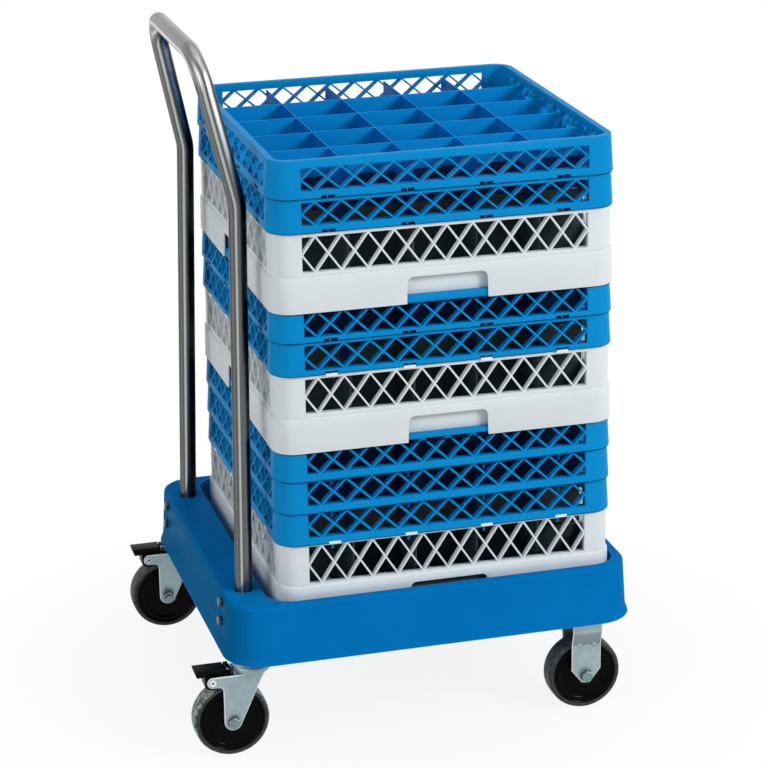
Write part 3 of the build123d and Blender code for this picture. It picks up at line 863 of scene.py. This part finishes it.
def extender_wall(bm, window, base_z, notched, notched_rim):
    """An extender's tapered wall with its windows, its rim, and a skirt with notches or with hooks."""
    window_row = 3
    notch_rows = [row for row, cut in ((0, notched), (5, notched_rim)) if cut]
    heights = (0.0, NOTCH_HEIGHT, SKIRT_LAP, *window, EXTENDER_HEIGHT - RIM_NOTCH, EXTENDER_HEIGHT)
    levels = [(z, extender_half(z), SKIRT_INSIDE if z < SKIRT_LAP else LINER_HALF) for z in heights]
    grid_wall(bm, notched_columns(), levels, open_rows(window_row, notch_rows), base_z)
    if not notched:
        hooks(bm, base_z)


def build_extender(name, ribs, window, base_z, notched, notched_rim):
    """One extender: its wall, the ring of painted shade below it and its lattices."""
    sizes = (window, base_z, notched, notched_rim)
    shell = modelled("shell", RACK_BLUE, extender_wall, *sizes, rounded=0.6)
    line = modelled("seam_shade", SEAM_SHADE, seam_shade, base_z, notched)
    return join(name, [shell, line, raised(ribs, base_z)])


def hand_hold_corners(bm, base_z):
    """Rounded upper corners for the hand holds."""
    radius, overlap = 9.0, 0.6
    wide, high = HOLD_HALF - 1.3, HOLD_TOP + 0.1
    turns = [math.pi / 2 * k / 6 for k in range(7)]
    arc = [(wide - radius + radius * math.cos(a), high - radius + radius * math.sin(a)) for a in turns]
    corner = [(wide + overlap, high - radius), *arc, (wide - radius, high + overlap),
              (wide + overlap, high + overlap)]
    for sign in (-1, 1):
        outline = [(u * sign, v) for u, v in corner]
        on_walls(bm, [0.0], outline, base_z, SKIRT_INSIDE + 0.05, RACK_HALF - 0.45)


def floor_bars(bm, base_z):
    """The open grid that glasses stand on."""
    reach, low, high = LINER_HALF + 1, base_z + 11.2, base_z + 13.9
    lift = 0.05
    for i in range(FLOOR_BARS):
        offset = (i - FLOOR_BARS // 2) * FLOOR_PITCH
        left, right = offset - FLOOR_BAR_HALF, offset + FLOOR_BAR_HALF
        block(bm, (STACK_X - reach, left, low), (STACK_X + reach, right, high))
        block(bm, (STACK_X + left, -reach, low + lift), (STACK_X + right, reach, high + lift))


def base_wall(bm, window, base_z):
    """A base rack's plain skirt with hand holds, ledge, latticed upper wall, liner and floor."""
    plain = wall_columns(FLAT_STOPS)
    holds = wall_columns([FLAT_STOPS[0], (-HOLD_HALF, HOLD_LEAN), (HOLD_HALF, -HOLD_LEAN), FLAT_STOPS[1]])
    skirt = [(0.0, RACK_HALF, SKIRT_INSIDE), (HOLD_TOP, RACK_HALF - 0.4, SKIRT_INSIDE),
             (LINER_TOP, RACK_HALF - 0.6, SKIRT_INSIDE)]
    grid_wall(bm, holds, skirt, lambda a, b, row: row == 0 and on_flat(a, b, HOLD_HALF), base_z)
    hand_hold_corners(bm, base_z)
    ring(bm, plain, [(LINER_HALF + 0.5, 47.6), (RACK_HALF - 0.6, 47.6), (RACK_HALF - 0.7, 48.6),
                     (RACK_HALF - 1.3, 49.7), (RACK_HALF - 2.4, 50.4), (RIM_HALF - 1, 51.0),
                     (LINER_HALF + 0.5, 51.0)], base_z)
    low, high = window
    window_row, rim_row = 1, 3
    upper = [(BASE_SKIRT, RIM_HALF + 0.2, LINER_HALF), (low, RIM_HALF + 0.2, LINER_HALF),
             (high, RIM_HALF, LINER_HALF), (BASE_HEIGHT - RIM_NOTCH, RIM_HALF, LINER_HALF),
             (BASE_HEIGHT, RIM_HALF, LINER_HALF)]
    grid_wall(bm, notched_columns(), upper, open_rows(window_row, [rim_row]), base_z)
    liner = [(LINER_LOW, LINER_OUTSIDE, LINER_HALF), (LINER_TOP, LINER_OUTSIDE, LINER_HALF)]
    grid_wall(bm, plain, liner, lambda a, b, row: False, base_z)
    floor_bars(bm, base_z)


def shadow_panels(bm, base_z):
    """Dark panels behind the hand holds of the rack that stands in the deck, painted shade in the hand holds.
    """
    outline = rectangle(0.5 - HOLD_HALF, LINER_LOW + 0.5, HOLD_HALF - 0.5, HOLD_TOP - 0.3)
    on_walls(bm, [0.0], outline, base_z, LINER_OUTSIDE + 0.1, LINER_OUTSIDE + 0.6)


def rim_tabs(bm, seam_z, low, high):
    """Pale tabs of a base rack's rim that stand at the notches of the skirt above, in the lighter copy that
    paints a highlight.
    """
    tab_half = 8.6
    outline = rectangle(-tab_half, low, tab_half, high)
    on_walls(bm, NOTCH_CENTRES, outline, seam_z, RIM_HALF - 1.0, RACK_HALF + 0.4)


def build_base(name, ribs, window, base_z, on_deck, tabbed):
    """One base rack: its walls, the painted shade at its foot, its tabs, its lattices and its sheets."""
    parts = [modelled("shell", RACK_PALE, base_wall, window, base_z, rounded=0.7)]
    if on_deck:
        parts.append(modelled("panels", DARK_SHADE_SHEET, shadow_panels, base_z))
    else:
        parts.append(modelled("seam_shade", SEAM_SHADE, seam_shade, base_z, False))
    if tabbed:
        tab_low, tab_high = (-1.4, 2.4) if on_deck else (-3.6, 0.5)
        seam_z = base_z + BASE_HEIGHT - SKIRT_LAP
        parts.append(modelled("tabs", RIB_HIGHLIGHT_PALE, rim_tabs, seam_z, tab_low, tab_high, rounded=0.4))
    parts.append(raised(ribs, base_z))
    parts.append(crossed_sheets(base_z + 14.1, base_z + window[0] - 0.3, DARK_SHADE_SHEET))
    return join(name, parts)


def crossed_sheets(low, high, material):
    """One rack's crossed sheets between two heights, the blue ones painted with shade in a deeper blue on
    their faces along X.
    """
    sheets = grown("sheets", DIVIDERS, {
        "Length": (2 * LINER_HALF - 0.3) * MM,
        "Height": (high - low) * MM,
        "Low": low * MM,
        "Material": material,
    })
    sheets.data.transform(Matrix.Translation((STACK_X * MM, 0, 0)))
    sheets = bevel(sheets, 0.4, 1)
    # Painted shade: faces along X take a deeper copy of the blue
    if material is SHEET_BLUE:
        sheets.data.materials.append(SHEET_SHADE)
        for polygon in sheets.data.polygons:
            if abs(polygon.normal.x) > 0.7:
                polygon.material_index = len(sheets.data.materials) - 1
    return sheets


def sheet_clips(bm, top):
    """The clips on the front wall that hold down the topmost sheets, one in each row of compartments."""
    reach, bottom = LINER_HALF - 0.3, -9.0
    rows = [(number - 2) * SHEET_PITCH for number in range(5)]
    tab = rectangle(-4.0, bottom, 4.0, 1.0)
    on_walls(bm, rows, tab, top, reach - 3.4, reach + 0.3, sides=(1,))
    for foot in (-9.0, 9.0):
        post = rectangle(foot - 1.0, bottom, foot + 1.0, 7.0)
        on_walls(bm, rows, post, top, reach - 2.6, reach + 0.2, sides=(1,))


for set_name, extenders in SETS.items():
    lowest, topmost = set_name == "lower", set_name == "upper"
    window, base_window = EXTENDER_WINDOWS[set_name], BASE_WINDOWS[set_name]
    extender_ribs = lattice(window, extender_half, RACK_BLUE, RIB_HIGHLIGHT_BLUE)
    base_ribs = lattice(base_window, lambda z: RIM_HALF, RACK_PALE, RIB_HIGHLIGHT_PALE)
    body = f"{set_name}_racks"
    node = f"{set_name}_base_rack"
    rack = build_base(f"{node}_shell", base_ribs, base_window, box_mm(node)[0].z, lowest, not topmost)
    settle(rack, body, node)
    sheet_low, sheet_top = (corner.z for corner in box_mm(f"{set_name}_dividers"))
    # Sheets take the copies that paint shade, near-black in the base rack and deep blue above it, except in
    # the upper set's topmost extender
    sheets, dark = [], DARK_SHADE_SHEET
    for number in range(1, extenders + 1):
        node = f"{set_name}_extender_{number}"
        base_z = box_mm(node)[0].z
        notched_rim = not lowest and number < extenders
        rack = build_extender(f"{node}_shell", extender_ribs, window, base_z, not lowest, notched_rim)
        settle(rack, body, node)
        sheets.append(crossed_sheets(sheet_low, base_z - 0.3, dark))
        sheet_low, dark = base_z + 0.3, DEEP_SHADE_SHEET
    sheets.append(crossed_sheets(sheet_low, sheet_top, SHEET_BLUE if topmost else DEEP_SHADE_SHEET))
    # The clips take the lighter blue of a painted highlight
    clips = modelled("clips", RIB_HIGHLIGHT_BLUE, sheet_clips, sheet_top, rounded=0.5)
    settle(join(f"{set_name}_divider_grid", sheets + [clips]), body, f"{set_name}_dividers")
    for spare in (extender_ribs, base_ribs):
        bpy.data.objects.remove(spare)


# Push handle

TUBE_RADIUS = 12.5
TUBE_SIDES = 48
ARC_STEP = 4.0
LEG_X = STACK_X - 290.5
LEAN = 12.0 / 564.0
FOOT = Vector((LEG_X - LEAN * 56.0, 196.0, 174.0))
BEND = Vector((LEG_X + 12.0, 175.0, 794.0))
GRIP = Vector((BEND.x - 45.0, 151.0, 997.0))
YAW, PITCH_DOWN, ROLL = (math.radians(a) for a in (15.4, 19.05, -0.763))
# Directions that set where the painted reflection stripes fall on the legs and on the grip
PHOTO_RIGHT = Vector((math.cos(YAW), -math.sin(YAW), 0))
BAR_EDGE = Vector((0.73, 0, 0.68))


def filleted(points, radii):
    """Points along a path whose corners are true arcs."""
    path = [points[0]]
    for before, corner, after, radius in zip(points, points[1:], points[2:], radii):
        into = (corner - before).normalized()
        out = (after - corner).normalized()
        turn = into.angle(out)
        start = corner - into * radius * math.tan(turn / 2)
        axis = into.cross(out).normalized()
        arm = axis.cross(into) * radius
        steps = max(4, int(radius * turn / ARC_STEP))
        for k in range(steps + 1):
            path.append(start + arm + Matrix.Rotation(turn * k / steps, 3, axis) @ -arm)
    path.append(points[-1])
    return path


def tube(bm, path, across):
    """The handle's tube along a path, with UVs round and along it and its painted reflection stripes as
    attributes.
    """
    uv = bm.loops.layers.uv.verify()
    band = bm.verts.layers.float.new("band")
    bar = bm.verts.layers.float.new("bar")
    rings = []
    lengths = [0.0]
    for i, point in enumerate(path):
        ahead = (path[min(i + 1, len(path) - 1)] - path[max(i - 1, 0)]).normalized()
        up = ahead.cross(across).normalized()
        side = up.cross(ahead).normalized()
        # 0 on the upright legs and 1 on the level grip
        level = min(1.0, max(0.0, (abs(ahead.y) - 0.35) / 0.5))
        ring_points = []
        for k in range(TUBE_SIDES):
            angle = 2 * math.pi * k / TUBE_SIDES
            out = side * math.cos(angle) + up * math.sin(angle)
            vertex = bm.verts.new(point + out * TUBE_RADIUS)
            vertex[bar] = level
            vertex[band] = 0.5 + 0.5 * out.dot(PHOTO_RIGHT.lerp(BAR_EDGE, level))
            ring_points.append(vertex)
        rings.append(ring_points)
        if i:
            lengths.append(lengths[-1] + (point - path[i - 1]).length)
    for number, face in enumerate(skin(bm, rings)):
        i, k = divmod(number, TUBE_SIDES)
        for loop, (u, v) in zip(face.loops, ((k, i), (k + 1, i), (k + 1, i + 1), (k, i + 1))):
            loop[uv].uv = (u / TUBE_SIDES, lengths[v] * MM)


right_foot, right_bend, right_grip = (Vector((p.x, -p.y, p.z)) for p in (FOOT, BEND, GRIP))
corners = [right_foot, right_bend, right_grip, GRIP, BEND, FOOT]
route = filleted(corners, (70.0, 60.0, 60.0, 70.0))
handle_plane = Vector((0.97, 0, 0.24)).normalized()
push_handle = modelled("push_handle_tube", STEEL_TUBE, tube, route, handle_plane, sharp=50)
settle(push_handle, "dolly", "handle")


# Wheels

HUB_R = half_height("front_right_hub")
TYRE_R = half_height("front_right_tyre")
HUB_FACE = [
    (18.7, 5.1), (18.7, 12.6), (18.2, 13.4), (13.5, 14.2), (12.0, 16.0), (11.7, HUB_R - 12.5),
    (12.1, HUB_R - 10.0), (13.2, HUB_R - 9.0), (13.5, HUB_R - 8.4), (13.2, HUB_R - 7.8), (12.6, HUB_R - 7.0),
    (12.6, HUB_R - 3.4), (14.6, HUB_R - 2.2), (15.2, HUB_R - 0.5),
]
TYRE_FACE = [
    (14.6, HUB_R - 0.45), (15.9, HUB_R + 0.5), (15.95, HUB_R + 2.0), (15.5, TYRE_R - 2.9),
    (14.2, TYRE_R - 1.3), (11.8, TYRE_R - 0.35), (7.0, TYRE_R - 0.05),
]


def tyre_ring(bm, centre):
    """A rounded tyre that marks its tread for the dust and painted sheen."""
    lathe(bm, both_faces(TYRE_FACE), centre, 96)
    tread = bm.verts.layers.float.new("tread")
    for vertex in bm.verts:
        radius = math.hypot(vertex.co.x - centre.x, vertex.co.z - centre.z)
        vertex[tread] = 1.0 if radius > TYRE_R - 1.5 else 0.0


def build_wheel(name):
    """A moulded hub with its dish and boss, and its tyre."""
    low, high = box_mm(f"{name}_tyre")
    centre = (low + high) / 2
    hub = modelled(f"{name}_hub_dish", HUB_BLACK, lathe, both_faces(HUB_FACE), centre, 96, sharp=40)
    settle(hub, f"{name}_wheel", f"{name}_hub")
    # One tyre takes a strong dust and painted sheen on its tread, the others a faint one
    finish = TYRE_DUST_AND_SHEEN if name == "rear_right" else TYRE_FAINT_DUST_AND_SHEEN
    tyre = modelled(f"{name}_tyre_tread", finish, tyre_ring, centre, sharp=60)
    settle(tyre, f"{name}_wheel", f"{name}_tyre")


# Casters

PLATE_CORNER = 34.5


def rivet(bm, centre, outward, radius, height):
    """A domed rivet head whose axis runs along Y."""
    profile = [(0.0, 0.2), (0.0, radius)]
    for k in range(1, 5):
        angle = math.pi / 2 * k / 5
        profile.append((outward * height * math.sin(angle), radius * math.cos(angle)))
    profile.append((outward * height, 0.2))
    lathe(bm, profile, Vector(centre), 24)


def bracket_block(bm, x, y, z):
    """The foot and the upright of the small bracket behind a brake's hood."""
    block(bm, (x, y - 20.5, z), (x + 7.2, y + 20.5, z + 3.0))
    block(bm, (x + 0.1, y - 9.0, z + 0.1), (x + 7.1, y + 9.0, z + 10.5))


def hood_bracket(name, outward):
    """The bracket with its rivet on the outward side, and a zinc plate on the inward side with a black dome
    that paints the shade of an opening in it.
    """
    low, high = box_mm(f"{name}_fork")
    x, y, z = box_mm(f"{name}_brake_pedal")[1].x + 0.6, (low.y + high.y) / 2, high.z - 1.0
    near, far = sorted((y - outward * 9.1, y - outward * 10.3))
    plate = ((x + 0.3, near, z + 1.5), (x + 7.3, far, z + 10.8))
    head = (x + 3.6, y + outward * 9.0, z + 7.0)
    painted_hole = (x + 3.8, y - outward * 10.3, z + 6.4)
    return [
        modelled("bracket", PEDAL_BLACK, bracket_block, x, y, z, rounded=0.8),
        modelled("rivet", BOLT_STEEL, rivet, head, outward, 2.2, 1.0, sharp=40),
        modelled("plate", ZINC, block, *plate, rounded=0.5),
        modelled("painted_hole", HUB_BLACK, rivet, painted_hole, -outward, 2.4, 0.4, sharp=40),
    ]


def fork_darts(bm, name):
    """Pressed stiffening darts across the bend of a rigid fork, two on each cheek."""
    low, high = box_mm(f"{name}_fork")
    z, reach, rise, depth = FORK_BEND, 3.2, 6.0, 2.6
    for side in (-1, 1):
        y = (low.y + high.y) / 2 + side * 22.4
        for offset in (-10.5, 11.5):
            x = (low.x + high.x) / 2 + offset
            corners = ((x - reach, z), (x, z - rise), (x + reach, z), (x, z + rise))
            rim = [bm.verts.new((u, y, v)) for u, v in corners]
            peak = bm.verts.new((x, y + side * depth, z - rise * 0.2))
            back = bm.verts.new((x, y - side * depth, z))
            for a, b in zip(rim, rim[1:] + rim[:1]):
                bm.faces.new((a, b, peak))
                bm.faces.new((b, a, back))


def swivel_race(name):
    """A swivel head with the corners of its plate pulled in."""
    head = cad_copy(f"{name}_swivel_race", f"{name}_swivel_head", ZINC, 1.0)
    low, high = box_mm(f"{name}_swivel_head")
    axis = (low + high) * MM / 2
    for vertex in head.data.vertices:
        out = Vector((vertex.co.x - axis.x, vertex.co.y - axis.y, 0))
        if out.length > PLATE_CORNER * MM:
            vertex.co -= out * (1 - PLATE_CORNER * MM / out.length)
    return head


def pivot_rivet(name):
    """A brake pedal's hollow rivet in the near-white of a painted highlight, with a black plug that paints
    the shade in its bore.
    """
    low, high = box_mm(f"{name}_pedal_pin")
    centre, half = (low + high) / 2, (high.y - low.y) / 2
    face = [(half - 2.6, 0.6), (half - 2.4, 1.7), (half - 0.2, 2.1), (half + 0.2, 2.8), (half + 0.1, 3.5),
            (half - 0.5, 4.0)]
    pin = modelled("pin", ZINC_HIGHLIGHT, lathe, both_faces(face), centre, 32, sharp=40)
    painted_hole = both_faces([(half - 2.2, 0.1), (half - 2.2, 1.75)])
    painted_bore_shade = modelled("painted_bore_shade", PEDAL_BLACK, lathe, painted_hole, centre, 32, sharp=40)
    return join(f"{name}_pivot_rivet", [pin, painted_bore_shade])


def axle_fasteners(name, body):
    """The hex bolt and nut of one axle."""
    for node, width in (("axle_bolt", 0.9), ("axle_nut", 0.7)):
        piece = bolt_copy(f"{name}_{node}_hex", f"{name}_{node}", width, 1, BOLT_STEEL, ZINC_HIGHLIGHT)
        settle(piece, body, f"{name}_{node}")


def build_rear_caster(name, outward):
    """Fork, swivel head, pedal, bolt, nut and pin of one swivel caster."""
    swivel = f"{name}_swivel"
    fork = cad_copy("fork", f"{name}_fork", ZINC, 1.15, rim=ZINC_HIGHLIGHT)
    settle(join(f"{name}_fork_plate", [fork, *hood_bracket(name, outward)]), swivel, f"{name}_fork")
    settle(swivel_race(name), "dolly", f"{name}_swivel_head")
    pedal = cad_copy(f"{name}_pedal_lever", f"{name}_brake_pedal", PEDAL_BLACK, 1.2, 3)
    settle(pedal, f"{name}_brake", f"{name}_brake_pedal")
    axle_fasteners(name, swivel)
    settle(pivot_rivet(name), swivel, f"{name}_pedal_pin")


def build_front_caster(name):
    """Fork, bolt and nut of one rigid caster."""
    fork = cad_copy("fork", f"{name}_fork", ZINC_BENT, 1.15, rim=ZINC_HIGHLIGHT)
    darts = modelled("darts", ZINC, fork_darts, name, sharp=20)
    settle(join(f"{name}_fork_plate", [fork, darts]), "dolly", f"{name}_fork")
    axle_fasteners(name, "dolly")


for side_name, outward in (("right", -1), ("left", 1)):
    for end_name in ("rear", "front"):
        build_wheel(f"{end_name}_{side_name}")
    build_rear_caster(f"rear_{side_name}", outward)
    build_front_caster(f"front_{side_name}")


# Deck and handle bolts

deck = cad_copy("deck_moulding", "deck", DECK_BLUE, 1.2, 3, rim=DECK_HIGHLIGHT)
# Painted shade: how far each face of the deck turns to the rear
rearward = deck.data.attributes.new("rearward", "FLOAT", "FACE")
for facet, polygon in zip(rearward.data, deck.data.polygons):
    facet.value = max(0.0, -polygon.normal.x) ** 2
settle(deck, "dolly", "deck")
# The handle bolts' heads turn to the rear and take the painted shade colour, with the bolt steel as their
# painted glint
bolts = bolt_copy("handle_bolt_heads", "handle_bolts", 0.8, 0, BOLT_SHADE, BOLT_STEEL)
settle(bolts, "dolly", "handle_bolts")


# Floor, light and camera

WHITE = (1, 1, 1, 1)
SKY = (0.93, 0.96, 1.0, 1)
SKY_STRENGTH = 0.25
AIM = Vector((0, 0, 0.5))
LAMPS = (
    ("key", (2.9, -2.9, 2.95), 1.5, 132),
    ("fill", (-3.4, -1.6, 2.2), 2.6, 55),
    ("top", (0.2, 0.4, 3.6), 2.6, 25),
)
PHOTO_WIDTH = 768
FOCAL_PIXELS = 2737.5
SENSOR_WIDTH = 36.0
CAMERA_PLACE = Vector((STACK_X - 1050.5, -3722.7, 1782.0))


def studio_floor():
    """A pale floor that the camera sees fade to white, with the object's shadow kept near it."""
    bm = bmesh.new()
    bmesh.ops.create_grid(bm, x_segments=2, y_segments=2, size=9.0)
    floor = as_object("floor", bm)
    s = Shader("pale_floor")
    s.finish(Base_Color=(0.86, 0.86, 0.86), Roughness=0.9, Specular_IOR_Level=0.0)
    white = s.node("ShaderNodeEmission", {}, {"Color": WHITE, "Strength": 1.0})
    distance = s.node("ShaderNodeVectorMath", {"operation": "LENGTH"}, [s.place()], "Value")
    fade = s.ramp(distance / 2.0, (0.15, 0.88), (0.34, 1.0))
    plain = Sock(s, s.principled.outputs["BSDF"])
    mixed = s.node("ShaderNodeMixShader", {}, [s.direct_rays() * fade, plain, white])
    s.feed(s.output.inputs["Surface"], mixed)
    floor.data.materials.append(s.material)


def area_light(name, place, size, power):
    """One soft square lamp aimed at the object."""
    data = bpy.data.lights.new(name, "AREA")
    data.size = size
    data.energy = power
    lamp = new_object(name, data)
    lamp.location = place
    lamp.rotation_euler = (AIM - Vector(place)).to_track_quat("-Z", "Y").to_euler()


def world_light():
    """A grey sky for light, white to the camera, to reflections and through glass."""
    world = bpy.data.worlds.new("studio")
    bpy.context.scene.world = world
    world.use_nodes = True
    sky = Graph(world.node_tree)
    sky.tree.nodes.clear()
    fill = sky.node("ShaderNodeBackground", {}, {"Color": SKY, "Strength": SKY_STRENGTH})
    white = sky.node("ShaderNodeBackground", {}, {"Color": WHITE, "Strength": 1.0})
    mixed = sky.node("ShaderNodeMixShader", {}, [sky.direct_rays(), fill, white])
    output = sky.tree.nodes.new("ShaderNodeOutputWorld")
    sky.feed(output.inputs["Surface"], mixed)


def photo_camera():
    """The camera fitted to the photograph."""
    data = bpy.data.cameras.new("camera")
    data.sensor_width = SENSOR_WIDTH
    data.lens = FOCAL_PIXELS / PHOTO_WIDTH * SENSOR_WIDTH
    data.clip_end = 50.0
    camera = new_object("camera", data)
    aim = Matrix.Rotation(-YAW, 4, "Z") @ Matrix.Rotation(math.pi / 2 - PITCH_DOWN, 4, "X")
    camera.matrix_world = Matrix.Translation(CAMERA_PLACE * MM) @ aim @ Matrix.Rotation(ROLL, 4, "Z")
    bpy.context.scene.camera = camera


studio_floor()
world_light()
for lamp_values in LAMPS:
    area_light(*lamp_values)
photo_camera()
bpy.context.scene.view_settings.view_transform = "Standard"
